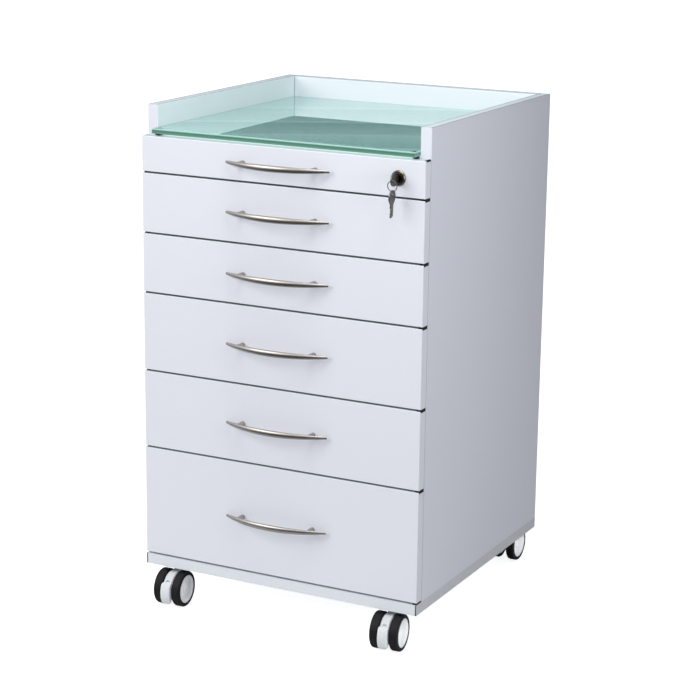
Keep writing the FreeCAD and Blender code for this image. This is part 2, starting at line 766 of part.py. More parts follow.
def make_hood_master():
    """The moulded hood between the wheels, seen from the side: swivel housing, round hood, axle boss."""
    body = new_body("hood_master")
    side = sketch_on(body, "YZ", "hood_side")
    house = "(housing_width / 2)"
    rise = f"sqrt({HOOD_RADIUS} ^ 2 - ({house} - castor_trail) ^ 2)"
    boss = "(axle_diameter / 2 + axle_wall)"
    low_x = f"(-castor_trail - {HOOD_RADIUS} * cos(hood_front_angle * 1 deg))"
    low_z = f"({WHEEL_RADIUS} - {HOOD_RADIUS} * sin(hood_front_angle * 1 deg))"
    boss_x = f"{boss} * cos(hood_boss_angle * 1 deg)"
    boss_z = f"{WHEEL_RADIUS} - {boss} * sin(hood_boss_angle * 1 deg)"
    outline(side, [
        (house, HOUSING_TOP_Z), (f"-{house}", HOUSING_TOP_Z), (f"-{house}", f"{WHEEL_RADIUS} + {rise}"),
        (low_x, low_z), (f"-castor_trail - {boss_x}", boss_z),
        (f"-castor_trail + {boss_x}", boss_z), (house, f"{WHEEL_RADIUS} + hood_rear_rise"),
    ], {2: (HOOD_RADIUS, -1), 4: (boss, -1)})
    solid = pad(body, side, "hood_width", HOOD_WIDTH, both_ways=True)
    bevel_faces(body, solid, "hood_edges", [(1, 0, 0), (-1, 0, 0)], "hood_bevel")
    axle = sketch_on(body, "YZ", "axle_hole")
    circle(axle, ("-castor_trail", WHEEL_RADIUS), "axle_diameter / 2 + axle_play / 2")
    pocket(body, axle, "axle_bored", both_ways=True)
    pin = sketch_on(body, "XY", "pin_hole", shift=HOUSING_TOP_Z)
    circle(pin, ("0", "0"), "pin_diameter / 2 + axle_play / 2")
    pocket(body, pin, "pin_bored", "pin_length - pin_gap + pin_room")
    return body


# The pedal rocks on a steel pin across the hood, just behind the hood's round front.
PEDAL_PIN_Y = f"(-castor_trail - ({HOOD_RADIUS} - pedal_pin_depth) * cos(pedal_pin_angle * 1 deg))"
PEDAL_PIN_Z = f"({WHEEL_RADIUS} + ({HOOD_RADIUS} - pedal_pin_depth) * sin(pedal_pin_angle * 1 deg))"
PEDAL_EYE = "(pedal_pin / 2 + pedal_pin_wall)"


def make_braked_hood(hood):
    """The same hood with a slot between its cheeks for the pedal's arm, and a hole for the pedal's pin."""
    slot = new_body("arm_slot")
    side = sketch_on(slot, "YZ", "arm_slot_side")
    room = f"({PEDAL_EYE} + pedal_arm_play)"
    ahead = f"(-castor_trail - {WHEEL_RADIUS})"
    outline(side, [
        (PEDAL_PIN_Y, f"{PEDAL_PIN_Z} + {room}"), (ahead, f"{PEDAL_PIN_Z} + {room}"),
        (ahead, f"{WHEEL_RADIUS} + arm_slot_floor"), (PEDAL_PIN_Y, f"{PEDAL_PIN_Z} - {room}"),
    ], {3: (f"{room} + 0.01", -1)})
    pad(slot, side, "arm_slot_width", "pedal_arm + 2 * pedal_arm_play", both_ways=True)
    low = (f"-{HOOD_WIDTH} / 2", PEDAL_PIN_Y, PEDAL_PIN_Z)
    hole = cylinder("pedal_pin_hole", "pedal_pin / 2 + axle_play / 2", HOOD_WIDTH, low, (0, 1, 0), 90)
    return cut("braked_hood", hood, slot, hole)


def make_pedal_pin():
    """The steel pin that the pedal rocks on, a little shorter than the hood is wide."""
    low = (f"-({HOOD_WIDTH} / 2 - pedal_pin_inset)", PEDAL_PIN_Y, PEDAL_PIN_Z)
    return cylinder("pedal_pin_master", "pedal_pin / 2", f"{HOOD_WIDTH} - 2 * pedal_pin_inset", low, (0, 1, 0), 90)


def make_hub_master():
    """A dished wheel hub with raised rings on its outer face, turned about the X axis."""
    body = new_body("hub_master")
    profile = sketch_on(body, "XY", "hub_profile")
    inner = f"({HOOD_WIDTH} / 2 + wheel_gap + hub_setback)"
    outer = "(castor_width / 2 - hub_setback)"
    rim = "(hub_diameter / 2)"
    face = f"({outer} - hub_face_step)"
    dish = f"({outer} - 2 * hub_face_step)"
    outline(profile, [
        (inner, "axle_diameter / 2"), (inner, rim), (outer, rim), (outer, f"{rim} - hub_rim"),
        (dish, f"{rim} - hub_rim - hub_rim_slope"), (dish, "hub_ring_radius"),
        (face, "hub_ring_radius - hub_ring_slope"), (face, "hub_boss_radius + hub_boss_slope"),
        (outer, "hub_boss_radius"), (outer, "0"), (f"{outer} - hub_cap", "0"),
        (f"{outer} - hub_cap", "axle_diameter / 2"),
    ])
    revolve(body, profile, "hub_turned", "H_Axis")
    return body


def make_tyre_master():
    """A soft tyre with rounded shoulders round the hub."""
    body = new_body("tyre_master")
    profile = sketch_on(body, "XY", "tyre_profile")
    inner = f"({HOOD_WIDTH} / 2 + wheel_gap)"
    outer = "(castor_width / 2)"
    seat = "(hub_diameter / 2)"
    shoulder = f"({WHEEL_RADIUS} - tyre_rounding)"
    outline(profile, [
        (inner, seat), (outer, seat), (outer, shoulder), (f"{outer} - tyre_rounding", WHEEL_RADIUS),
        (f"{inner} + tyre_rounding", WHEEL_RADIUS), (inner, shoulder),
    ], {2: ("tyre_rounding", -1), 4: ("tyre_rounding", -1)})
    revolve(body, profile, "tyre_turned", "H_Axis")
    return body


def polar(radius, angle):
    """A spot in the castor's side view, by its distance from the axle and its angle above the front."""
    return f"-castor_trail - {radius} * cos({angle} * 1 deg)", f"{WHEEL_RADIUS} + {radius} * sin({angle} * 1 deg)"


def make_pedal_taper(low, high):
    """The wedge that thins the pedal's upper end, so that a shoe slides on to it."""
    wedge = new_body("pedal_taper")
    side = sketch_on(wedge, "YZ", "pedal_taper_side")
    beyond = f"({high} + pedal_sheet)"
    outline(side, [
        polar(f"({low} + pedal_top_thick)", "pedal_rise"), polar(high, "(pedal_rise - pedal_top_taper)"),
        polar(beyond, "(pedal_rise - pedal_top_taper)"), polar(beyond, "(pedal_rise + pedal_top_taper)"),
        polar(low, "(pedal_rise + pedal_top_taper)"),
    ])
    pad(wedge, side, "pedal_taper_width", "castor_width", both_ways=True)
    return wedge


def make_pedal_front(wide, high):
    """The pedal's outline from the front: straight sides and a rounded lower end."""
    front = new_body("pedal_front")
    view = sketch_on(front, "XZ", "pedal_front_view")
    foot = f"({WHEEL_RADIUS} - {high} * sin(pedal_drop * 1 deg))"
    outline(view, [
        (f"-{wide}", "wheel_diameter"), (f"-{wide}", f"{foot} + pedal_end_radius"),
        (f"-{wide} + pedal_end_radius", foot), (f"{wide} - pedal_end_radius", foot),
        (wide, f"{foot} + pedal_end_radius"), (wide, "wheel_diameter"),
    ], {1: ("pedal_end_radius", -1), 3: ("pedal_end_radius", -1)})
    pad(front, view, "pedal_front_depth", "4 * wheel_diameter", both_ways=True)
    return front


def make_pedal_master():
    """The brake pedal: a tongue bent round the hood, on an arm with an eye for its pin.

    It is drawn pressed, concentric with the wheels, and then rocked out on its pin by its travel.
    """
    strip = new_body("pedal_strip")
    profile = sketch_on(strip, "XY", "pedal_profile")
    low = f"({HOOD_RADIUS} + pedal_gap)"
    high = f"({low} + pedal_sheet)"
    wide = f"({HOOD_WIDTH} / 2)"
    outline(profile, [
        (f"-{wide}", low), (wide, low), (wide, f"{high} - pedal_rounding"), (f"{wide} - pedal_rounding", high),
        (f"-{wide} + pedal_rounding", high), (f"-{wide}", f"{high} - pedal_rounding"),
    ], {2: ("pedal_rounding", -1), 4: ("pedal_rounding", -1)})
    revolve(strip, profile, "pedal_bent", "H_Axis", "pedal_rise + pedal_drop")
    turned(strip, (1, 0, 0), 1)
    bind(strip, **{"Placement.Rotation.Angle": "180 - pedal_rise"})
    place(strip, "0", "-castor_trail", WHEEL_RADIUS)
    tapered = cut("pedal_tapered", strip, make_pedal_taper(low, high))
    tongue = common("pedal_tongue", tapered, make_pedal_front(wide, high))
    arm = new_body("pedal_arm")
    side = sketch_on(arm, "YZ", "pedal_arm_side")
    root = f"({low} + pedal_arm_root)"
    tips = [polar(root, "pedal_arm_high"), polar(root, "pedal_arm_low")]
    outline(side, [
        (PEDAL_PIN_Y, f"{PEDAL_PIN_Z} + {PEDAL_EYE}"), *tips, (PEDAL_PIN_Y, f"{PEDAL_PIN_Z} - {PEDAL_EYE}"),
    ], {3: (f"{PEDAL_EYE} + 0.01", -1)})
    pad(arm, side, "pedal_arm_sheet", "pedal_arm", both_ways=True)
    bore = sketch_on(arm, "YZ", "pedal_arm_bore")
    circle(bore, (PEDAL_PIN_Y, PEDAL_PIN_Z), "pedal_pin / 2 + axle_play / 2")
    pocket(arm, bore, "pedal_arm_bored", both_ways=True)
    pedal = fuse("pedal_master", tongue, arm)
    turned(pedal, (-1, 0, 0), 1)
    bind(pedal, **{"Placement.Rotation.Angle": "pedal_travel"})
    cosine, sine = "cos(pedal_travel * 1 deg)", "sin(pedal_travel * 1 deg)"
    rocked_y = f"{PEDAL_PIN_Y} - {PEDAL_PIN_Y} * {cosine} - {PEDAL_PIN_Z} * {sine}"
    rocked_z = f"{PEDAL_PIN_Z} - {PEDAL_PIN_Z} * {cosine} + {PEDAL_PIN_Y} * {sine}"
    return place(pedal, "0", rocked_y, rocked_z)


def castor_corners():
    """Name, swivel place and rest yaw of each castor: the front pair trail forwards, the rear pair back."""
    front_y = f"({FRONT_Y} + castor_inset_y)"
    rear_y = f"({BACK_Y} - castor_inset_y)"
    x = "(cabinet_width / 2 - castor_inset_x)"
    return [
        ("front_left", f"(-{x})", front_y, "front_left_yaw"),
        ("front_right", x, front_y, "front_right_yaw"),
        ("rear_left", f"(-{x})", rear_y, "180"),
        ("rear_right", x, rear_y, "180"),
    ]


def at_castor_screws(master, name, z):
    """A copy of a piece at each of the four screws of each castor plate."""
    copies = []
    for corner, x, y, yaw in castor_corners():
        for number, (across, along) in enumerate(SCREW_SPOTS, start=1):
            spot = (f"{x} + {across}", f"{y} + {along}", z)
            copies.append(copy_of(master, f"{name}_{corner}_{number}", spot))
    return copies


def make_castor_screw():
    """A pan-head screw along +Z, with the underside of its head at z = 0."""
    head = cylinder("castor_screw_pan", "castor_screw_head / 2", "castor_head_depth", ("0", "0", "-castor_head_depth"))
    shank = cylinder("castor_screw_shank", "castor_screw / 2", "castor_screw_length")
    return fuse("castor_screw_master", head, shank)


def make_castors():
    """Four castors from the same masters, and the plates and screws that hold them."""
    plate = make_plate_master()
    hood = make_hood_master()
    braked_hood = make_braked_hood(hood)
    hub = make_hub_master()
    tyre = make_tyre_master()
    pedal = make_pedal_master()
    pedal_pin = make_pedal_pin()
    axle_reach = "(castor_width / 2 - axle_end_inset)"
    axle_low = (f"(-{axle_reach})", "0", "0")
    axle = cylinder("axle_master", "axle_diameter / 2", f"2 * {axle_reach}", axle_low, (0, 1, 0), 90)
    plate_z = f"({CASTOR_TOP_Z} - plate_thick)"
    plates = []
    for corner, x, y, yaw in castor_corners():
        swivel = (x, y, "0")
        braked = corner.startswith("front")
        moulding = copy_of(braked_hood if braked else hood, corner + "_hood", swivel, angle=yaw)
        pins = [copy_of(pedal_pin, corner + "_pedal_pin", swivel, angle=yaw)] if braked else []
        group(f"castor_{corner}_hood", moulding, *pins)
        wheel_x = f"({x} + castor_trail * sin({yaw} * 1 deg))"
        wheel_y = f"({y} - castor_trail * cos({yaw} * 1 deg))"
        centre = (wheel_x, wheel_y, WHEEL_RADIUS)
        for part, master in (("hub", hub), ("tyre", tyre)):
            right = copy_of(master, f"{corner}_{part}_right", centre, angle=yaw)
            left = copy_of(master, f"{corner}_{part}_left", centre, angle=f"({yaw} + 180)")
            pieces = [right, left]
            if part == "hub":
                pieces.append(copy_of(axle, corner + "_axle", centre, angle=yaw))
            group(f"castor_{corner}_{part}s", *pieces)
        if braked:
            group(f"castor_{corner}_brake", copy_of(pedal, corner + "_pedal", swivel, angle=yaw))
        plates.append(copy_of(plate, corner + "_plate", (x, y, plate_z)))
    group("castor_plates", *plates)
    group("castor_screws", *at_castor_screws(make_castor_screw(), "castor_screw", plate_z))


masters = {"handle": make_handle(), "screw": make_screw()}
cabinet_channel, masters["middle"], masters["drawer"] = make_slide_masters()
make_carcass()
make_lock()
make_keys()
cabinet_members = []
for drawer_level in range(6):
    make_drawer(drawer_level, masters)
    cabinet_members += slide_pair(cabinet_channel, f"cabinet_member_{6 - drawer_level}", drawer_level)
group("slide_cabinet_members", *cabinet_members)
make_castors()
doc.recompute()
problems = [thing.Name for thing in doc.Objects if "Invalid" in thing.State or "Error" in thing.State]
problems += [piece.Name for piece in nodes if piece.Shape.isNull() or not piece.Shape.isValid()]
if problems:
    raise RuntimeError("objects that failed: " + ", ".join(problems))
os.makedirs("parts", exist_ok=True)
for piece in nodes:
    piece.Shape.exportStep(f"parts/{piece.Label}.step")
    print(f"{piece.Label}: {len(piece.Shape.Solids)} solids, {piece.Shape.Volume / 1000:.1f} cm3")
print(len(nodes), "pieces")
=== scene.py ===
# %% [markdown]
# # A mobile drawer cabinet for a surgery
#
# The cabinet is a white board carcass with six drawers, bow handles, a glass worktop inside a low
# gallery, a cam lock with its two keys, and four twin-wheel castors. The engineering model is
# loaded first and stays as it is, because every piece of it moves on a real slide or hinge. This
# script gives those pieces their finishes, adds the small trim that the solids leave out, among it
# black blocks of painted shade at the ends of the drawer gaps, and sets up a plain pale studio round
# them.

# %% Load the engineering model
import bpy
import itertools
import math
from mathutils import Matrix, Vector


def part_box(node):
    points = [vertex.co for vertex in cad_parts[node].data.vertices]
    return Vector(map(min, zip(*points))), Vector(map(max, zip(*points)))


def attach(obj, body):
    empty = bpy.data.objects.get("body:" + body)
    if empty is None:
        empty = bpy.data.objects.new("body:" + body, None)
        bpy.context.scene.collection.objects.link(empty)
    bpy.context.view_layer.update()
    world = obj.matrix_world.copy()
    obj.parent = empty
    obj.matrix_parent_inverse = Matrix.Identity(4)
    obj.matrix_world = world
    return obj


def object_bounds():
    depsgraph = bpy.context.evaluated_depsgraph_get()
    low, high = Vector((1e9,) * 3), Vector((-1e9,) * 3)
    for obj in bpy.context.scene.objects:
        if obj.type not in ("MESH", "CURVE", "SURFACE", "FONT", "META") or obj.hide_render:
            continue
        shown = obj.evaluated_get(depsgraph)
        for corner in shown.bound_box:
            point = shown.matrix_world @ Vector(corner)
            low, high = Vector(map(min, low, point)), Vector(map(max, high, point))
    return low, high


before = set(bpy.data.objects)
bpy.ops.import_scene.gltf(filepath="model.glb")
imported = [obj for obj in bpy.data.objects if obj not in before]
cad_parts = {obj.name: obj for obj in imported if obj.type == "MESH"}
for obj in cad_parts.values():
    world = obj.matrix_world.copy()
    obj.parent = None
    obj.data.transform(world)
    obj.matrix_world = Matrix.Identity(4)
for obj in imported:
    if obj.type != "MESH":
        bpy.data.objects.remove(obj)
cad_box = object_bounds()


def rounded(box):
    """A box's two corners, short enough to print."""
    return [[round(v, 4) for v in corner] for corner in box]


print("the model's box:", rounded(cad_box))

# %% [markdown]
# ## Camera
#
# The cabinet is seen from its right front corner, from a little above the worktop and from about
# three metres away, with a long lens. A long lens from far off keeps the uprights nearly parallel,
# which is how such furniture is usually shown. The camera is placed by its position and three
# angles, so that it can be turned a fraction of a degree at a time.

# %% Turn angles into a camera's axes
def camera_axes(yaw, pitch, roll):
    """The camera's right, up and backward directions for three angles in degrees."""
    yaw, pitch, roll = (math.radians(angle) for angle in (yaw, pitch, roll))
    back = Vector((math.sin(yaw) * math.cos(pitch), -math.cos(yaw) * math.cos(pitch), math.sin(pitch)))
    right = (-back).cross(Vector((0, 0, 1))).normalized()
    up = right.cross(-back)
    turned_right = right * math.cos(roll) + up * math.sin(roll)
    turned_up = up * math.cos(roll) - right * math.sin(roll)
    return turned_right, turned_up, back


print("with no turn the camera looks along", [round(-v, 3) for v in camera_axes(0, 0, 0)[2]])

# %% Place the camera
CAMERA_AT = Vector((1.5413, -3.0131, 1.2782))
CAMERA_YAW, CAMERA_PITCH, CAMERA_ROLL = 27.036, 14.360, 0.750
LENS, SENSOR_WIDTH = 106.61, 36
FARTHEST_SEEN = 100
camera = bpy.data.objects.new("camera", bpy.data.cameras.new("camera"))
bpy.context.scene.collection.objects.link(camera)
right, up, back = camera_axes(CAMERA_YAW, CAMERA_PITCH, CAMERA_ROLL)
camera.matrix_world = Matrix.Translation(CAMERA_AT) @ Matrix((right, up, back)).transposed().to_4x4()
camera.data.lens = LENS
camera.data.sensor_width = SENSOR_WIDTH
camera.data.clip_end = FARTHEST_SEEN
bpy.context.scene.camera = camera
bpy.context.scene.view_settings.view_transform = "Standard"
middle = (Vector(cad_box[0]) + Vector(cad_box[1])) / 2
print("the camera stands", round((CAMERA_AT - middle).length, 2), "m from the cabinet")

# %% [markdown]
# ## Small helpers
#
# The room, the flags and the finishes are all shader nodes, so a few short helpers for nodes come
# first. They add a node to a tree, wire it up and hand back the socket to go on from. What they are
# given may be a plain value or another node's socket. One more helper turns a colour as a screen
# shows it into the numbers that shaders use.

# %% Helpers for shader nodes
def feed(tree, socket, given):
    """Gives a socket a plain value, or a link from another socket."""
    if isinstance(given, bpy.types.NodeSocket):
        tree.links.new(given, socket)
    elif given is not None:
        socket.default_value = given


def number(tree, operation, first, second=None, third=None):
    """A math node on numbers or sockets."""
    node = tree.nodes.new("ShaderNodeMath")
    node.operation = operation
    for socket, given in zip(node.inputs, (first, second, third)):
        feed(tree, socket, given)
    return node.outputs[0]


def split(tree, vector):
    """The X, Y and Z of a vector socket."""
    node = tree.nodes.new("ShaderNodeSeparateXYZ")
    tree.links.new(vector, node.inputs[0])
    return node.outputs


def reach(tree, vector, axis):
    """How far a vector socket goes along X, Y or Z, whichever way."""
    return number(tree, "ABSOLUTE", split(tree, vector)[axis])


def mixed(tree, factor, first, second):
    """The first colour where the factor is 0 and the second where it is 1."""
    node = tree.nodes.new("ShaderNodeMix")
    node.data_type = "RGBA"
    for label, given in (("Factor", factor), ("A", first), ("B", second)):
        feed(tree, node.inputs[label], given)
    return node.outputs["Result"]


def by_ray(tree, *rays):
    """A number that is 1 for the kinds of ray named, such as Is Camera Ray, and 0 for others."""
    path = tree.nodes.new("ShaderNodeLightPath")
    total = path.outputs[rays[0]]
    for ray in rays[1:]:
        total = number(tree, "MAXIMUM", total, path.outputs[ray])
    return total


print("node helpers ready")

# %% Helper for colours
def screen_colour(red, green, blue):
    """A colour picked off a screen, 0 to 255, as the linear numbers that shaders use."""
    def straighten(level):
        level /= 255
        return level / 12.92 if level <= 0.04045 else ((level + 0.055) / 1.055) ** 2.4
    return (straighten(red), straighten(green), straighten(blue), 1.0)


print("a screen's mid grey is", round(screen_colour(128, 128, 128)[0], 3), "in linear light")

# %% [markdown]
# ## Room and floor
#
# The cabinet stands in an empty white room. The world gives even light from all round, a little
# cooler than the lamps. What the camera, the reflections and the glass see is plain white, which is
# set apart from the light by the kind of ray, so the light on the cabinet stays at a plain level.
# The floor is a large sheet that is lifted nearly to white where the camera or the glass looks at
# it, and it still takes the soft shadow.

# %% Light the room
AMBIENT_COLOUR = (0.93, 0.96, 1.0, 1.0)
AMBIENT_STRENGTH = 0.5
WHITE = (1, 1, 1, 1)
world = bpy.data.worlds.new("white room")
bpy.context.scene.world = world
world.use_nodes = True
tree = world.node_tree
tree.nodes.clear()
ambient = tree.nodes.new("ShaderNodeBackground")
ambient.inputs["Color"].default_value = AMBIENT_COLOUR
ambient.inputs["Strength"].default_value = AMBIENT_STRENGTH
white = tree.nodes.new("ShaderNodeBackground")
white.inputs["Color"].default_value = WHITE
choose = tree.nodes.new("ShaderNodeMixShader")
out = tree.nodes.new("ShaderNodeOutputWorld")
tree.links.new(by_ray(tree, "Is Camera Ray", "Is Glossy Ray", "Is Transmission Ray"), choose.inputs[0])
tree.links.new(ambient.outputs[0], choose.inputs[1])
tree.links.new(white.outputs[0], choose.inputs[2])
tree.links.new(choose.outputs[0], out.inputs["Surface"])
print("ambient light at", AMBIENT_STRENGTH)

# %% Helper for flat sheets
def flat_sheet(name, wide, deep):
    """A flat rectangle round the origin, facing up, from half its width and half its depth."""
    shape = bpy.data.meshes.new(name)
    corners = [(-wide, -deep, 0), (wide, -deep, 0), (wide, deep, 0), (-wide, deep, 0)]
    shape.from_pydata(corners, [], [(0, 1, 2, 3)])
    sheet = bpy.data.objects.new(name, shape)
    bpy.context.scene.collection.objects.link(sheet)
    return sheet


print("sheet helper ready")

# %% Lay the floor
FLOOR_REACH = 12
FLOOR_LIFT = 0.85
FLOOR_COLOUR = (0.72, 0.72, 0.72, 1.0)
FLOOR_ROUGHNESS, FLOOR_SPECULAR = 0.9, 0.1
floor = flat_sheet("floor", FLOOR_REACH, FLOOR_REACH)
paint = bpy.data.materials.new("floor sheet")
paint.use_nodes = True
tree = paint.node_tree
matt = tree.nodes["Principled BSDF"]
matt.inputs["Base Color"].default_value = FLOOR_COLOUR
matt.inputs["Roughness"].default_value = FLOOR_ROUGHNESS
matt.inputs["Specular IOR Level"].default_value = FLOOR_SPECULAR
matt.inputs["Emission Color"].default_value = WHITE
seen = by_ray(tree, "Is Camera Ray", "Is Transmission Ray")
tree.links.new(number(tree, "MULTIPLY", seen, FLOOR_LIFT), matt.inputs["Emission Strength"])
floor.data.materials.append(paint)
print("floor", 2 * FLOOR_REACH, "m wide")

# %% [markdown]
# ## Lamps and flags
#
# A large soft lamp high on the left lights the drawer fronts and leaves the right side in gentle
# shade. A smaller one over the front lights the gallery and the upper fronts. A narrower one on the
# right lifts the front part of the side panel, and a low strip with a honeycomb grid skims along
# the floor and brightens the castors' wheels without reaching the boards above them.
#
# A studio also hangs dark sheets, called flags, where a glossy thing would mirror too much white.
# One behind the cabinet lets the green of the glass show. One in front, low down, and one on the
# floor in front of it draw the dark band along the underside of each metal handle. These three are
# seen by reflections only and take no light away. The fourth stands beside the rear half of the
# right side and does the opposite: it isn't mirrored, but it takes light away, so that the side
# grows a little darker towards the back.

# %% Helpers for lamps
def aimed(place, target):
    """A matrix that puts a lamp or card at a place, facing a target."""
    turn = (Vector(target) - Vector(place)).to_track_quat("-Z", "Y")
    return Matrix.Translation(place) @ turn.to_matrix().to_4x4()


def soft_lamp(name, place, target, size, power, colour, spread=180):
    """A rectangular lamp. A small spread, in degrees, narrows it as a honeycomb grid does."""
    lamp = bpy.data.lights.new(name, "AREA")
    lamp.shape = "RECTANGLE"
    lamp.size, lamp.size_y = size
    lamp.spread = math.radians(spread)
    lamp.energy = power
    lamp.color = colour
    holder = bpy.data.objects.new(name, lamp)
    holder.matrix_world = aimed(place, target)
    bpy.context.scene.collection.objects.link(holder)
    print(name, power, "W")


# %% Hang the lamps
WARM, COOL = (1.0, 0.99, 0.98), (0.98, 0.99, 1.0)
COOLER, COOLEST = (0.97, 0.99, 1.0), (0.97, 0.98, 1.0)
soft_lamp("key_lamp", (-1.9, -2.7, 2.2), (0, 0, 0.4), (2.2, 1.8), 56, WARM)
soft_lamp("top_lamp", (0.4, -0.6, 1.9), (0, 0.05, 0.8), (0.8, 0.8), 10, COOLER)
soft_lamp("side_lamp", (1.4, -0.62, 0.85), (0.2, -0.2, 0.65), (0.6, 0.6), 0.98, COOLEST, spread=90)
soft_lamp("low_lamp", (1.3, 0.0, 0.03), (0.2, 0.0, 0.025), (1.4, 0.02), 0.08, COOL, spread=4)

# %% Helper for flags
def flag(name, place, target, size, shade, takes_light=False):
    """A card of an even shade that only reflections see, unless it is there to take light away."""
    card = flat_sheet(name, size[0] / 2, size[1] / 2)
    card.matrix_world = aimed(place, target)
    cloth = bpy.data.materials.new(name)
    cloth.use_nodes = True
    nodes = cloth.node_tree.nodes
    nodes.clear()
    glow = nodes.new("ShaderNodeEmission")
    glow.inputs["Color"].default_value = (shade, shade, shade, 1)
    end = nodes.new("ShaderNodeOutputMaterial")
    cloth.node_tree.links.new(glow.outputs[0], end.inputs["Surface"])
    card.data.materials.append(cloth)
    card.visible_camera = False
    card.visible_diffuse = takes_light
    card.visible_glossy = not takes_light
    card.visible_transmission = False
    card.visible_shadow = False
    print(name, "shade", shade)


# %% Hang the flags
flag("flag_behind", (-0.6, 3.3, 1.9), (0, 0, 0.8), (6.6, 2.2), 0.0)
flag("flag_in_front", (0.6, -3.2, 0.65), (0, 0, 0.5), (6.0, 1.5), 0.06)
flag("flag_on_floor", (0.0, -2.0, 0.02), (0.0, -2.0, 1.0), (5.0, 2.8), 0.08)
flag("flag_beside", (0.8, 0.65, 0.95), (0.25, 0.25, 0.75), (1.2, 1.2), 0.0, takes_light=True)

# %% [markdown]
# ## Shared surface effects
#
# Several finishes need the same small effects, so each effect is built once as a node group with
# named inputs and placed in the materials with its own values. The first gives a colour the faint
# cloudiness that no real surface is without. The second is the fine skin of pressed or moulded
# surfaces. The third is the fine parallel scratching of brushed metal. The fourth gives the faces
# of a board that look one way their own tone between two fine dark lines: it draws the edge bands
# with their glue lines, and also painted shade on some top edges and in the inside corners of the
# gallery. The fifth is the cast that the glass throws on the boards round it. All of them work in
# the piece's own coordinates in metres, so their scale is real and they travel with the piece.

# %% Helpers for node groups
FLOAT, COLOUR, VECTOR = "NodeSocketFloat", "NodeSocketColor", "NodeSocketVector"
GREY = (0.8, 0.8, 0.8, 1)


def start_group(name, inputs, outputs):
    """An empty shader node group with its sockets, and its input and output nodes."""
    group = bpy.data.node_groups.new(name, "ShaderNodeTree")
    for label, kind, start in inputs:
        group.interface.new_socket(label, in_out="INPUT", socket_type=kind).default_value = start
    for label, kind in outputs:
        group.interface.new_socket(label, in_out="OUTPUT", socket_type=kind)
    return group, group.nodes.new("NodeGroupInput"), group.nodes.new("NodeGroupOutput")


def object_place(tree):
    """Where a point lies in the piece's own coordinates, in metres."""
    return tree.nodes.new("ShaderNodeTexCoord").outputs["Object"]


def face_normal(tree):
    """Which way the surface faces."""
    return tree.nodes.new("ShaderNodeNewGeometry").outputs["Normal"]


def noise(tree, place, scale, detail):
    """A noise texture read at a place, with a number or a socket as its scale."""
    texture = tree.nodes.new("ShaderNodeTexNoise")
    texture.inputs["Detail"].default_value = detail
    tree.links.new(place, texture.inputs["Vector"])
    feed(tree, texture.inputs["Scale"], scale)
    return texture.outputs[0]


def brightened(tree, colour, factor):
    """A colour with its brightness multiplied by a factor."""
    node = tree.nodes.new("ShaderNodeHueSaturation")
    tree.links.new(colour, node.inputs["Color"])
    tree.links.new(factor, node.inputs["Value"])
    return node.outputs["Color"]


def roughened(tree, pattern, given, result):
    """Lets a pattern from 0 to 1 make a group's roughness a little uneven."""
    centred = number(tree, "SUBTRACT", pattern, 0.5)
    average, unevenness = given.outputs["Roughness"], given.outputs["Unevenness"]
    uneven = number(tree, "MULTIPLY_ADD", centred, unevenness, average)
    tree.links.new(uneven, result.inputs["Roughness"])


def bumped(tree, pattern, strength, distance, result):
    """Lets a pattern raise a group's surface by a distance in metres at most."""
    bump = tree.nodes.new("ShaderNodeBump")
    bump.inputs["Distance"].default_value = distance
    tree.links.new(strength, bump.inputs["Strength"])
    tree.links.new(pattern, bump.inputs["Height"])
    tree.links.new(bump.outputs["Normal"], result.inputs["Normal"])


print("group helpers ready")

# %% Cloudy tone
cloudy_tone, given, result = start_group(
    "cloudy_tone",
    [("Color", COLOUR, GREY), ("Size", FLOAT, 6.0), ("Spread", FLOAT, 0.02)],
    [("Color", COLOUR)],
)
tree = cloudy_tone
cloud = noise(tree, object_place(tree), given.outputs["Size"], detail=4)
from_minus_to_plus_one = number(tree, "MULTIPLY", number(tree, "SUBTRACT", cloud, 0.5), 2.0)
brightness = number(tree, "MULTIPLY_ADD", from_minus_to_plus_one, given.outputs["Spread"], 1.0)
tree.links.new(brightened(tree, given.outputs["Color"], brightness), result.inputs["Color"])
print("cloudy_tone has", len(tree.nodes), "nodes")

# %% Fine skin
SKIN_RELIEF = 0.0002
PATCHES_PER_METRE = 14.0
fine_skin, given, result = start_group(
    "fine_skin",
    [("Grain", FLOAT, 900.0), ("Height", FLOAT, 0.1),
     ("Roughness", FLOAT, 0.4), ("Unevenness", FLOAT, 0.05)],
    [("Roughness", FLOAT), ("Normal", VECTOR)],
)
tree = fine_skin
place = object_place(tree)
grain = noise(tree, place, given.outputs["Grain"], detail=2)
bumped(tree, grain, given.outputs["Height"], SKIN_RELIEF, result)
roughened(tree, noise(tree, place, PATCHES_PER_METRE, detail=3), given, result)
print("fine_skin has", len(tree.nodes), "nodes")

# %% Brushed lines
SCRATCH_RELIEF = 0.0001
brushed_lines, given, result = start_group(
    "brushed_lines",
    [("Stretch", VECTOR, (20, 3000, 3000)), ("Depth", FLOAT, 0.2),
     ("Roughness", FLOAT, 0.3), ("Unevenness", FLOAT, 0.2)],
    [("Roughness", FLOAT), ("Normal", VECTOR)],
)
tree = brushed_lines
stretch = tree.nodes.new("ShaderNodeVectorMath")
stretch.operation = "MULTIPLY"
tree.links.new(object_place(tree), stretch.inputs[0])
tree.links.new(given.outputs["Stretch"], stretch.inputs[1])
lines = noise(tree, stretch.outputs[0], 1.0, detail=3)
bumped(tree, lines, given.outputs["Depth"], SCRATCH_RELIEF, result)
roughened(tree, lines, given, result)
print("brushed_lines has", len(tree.nodes), "nodes")
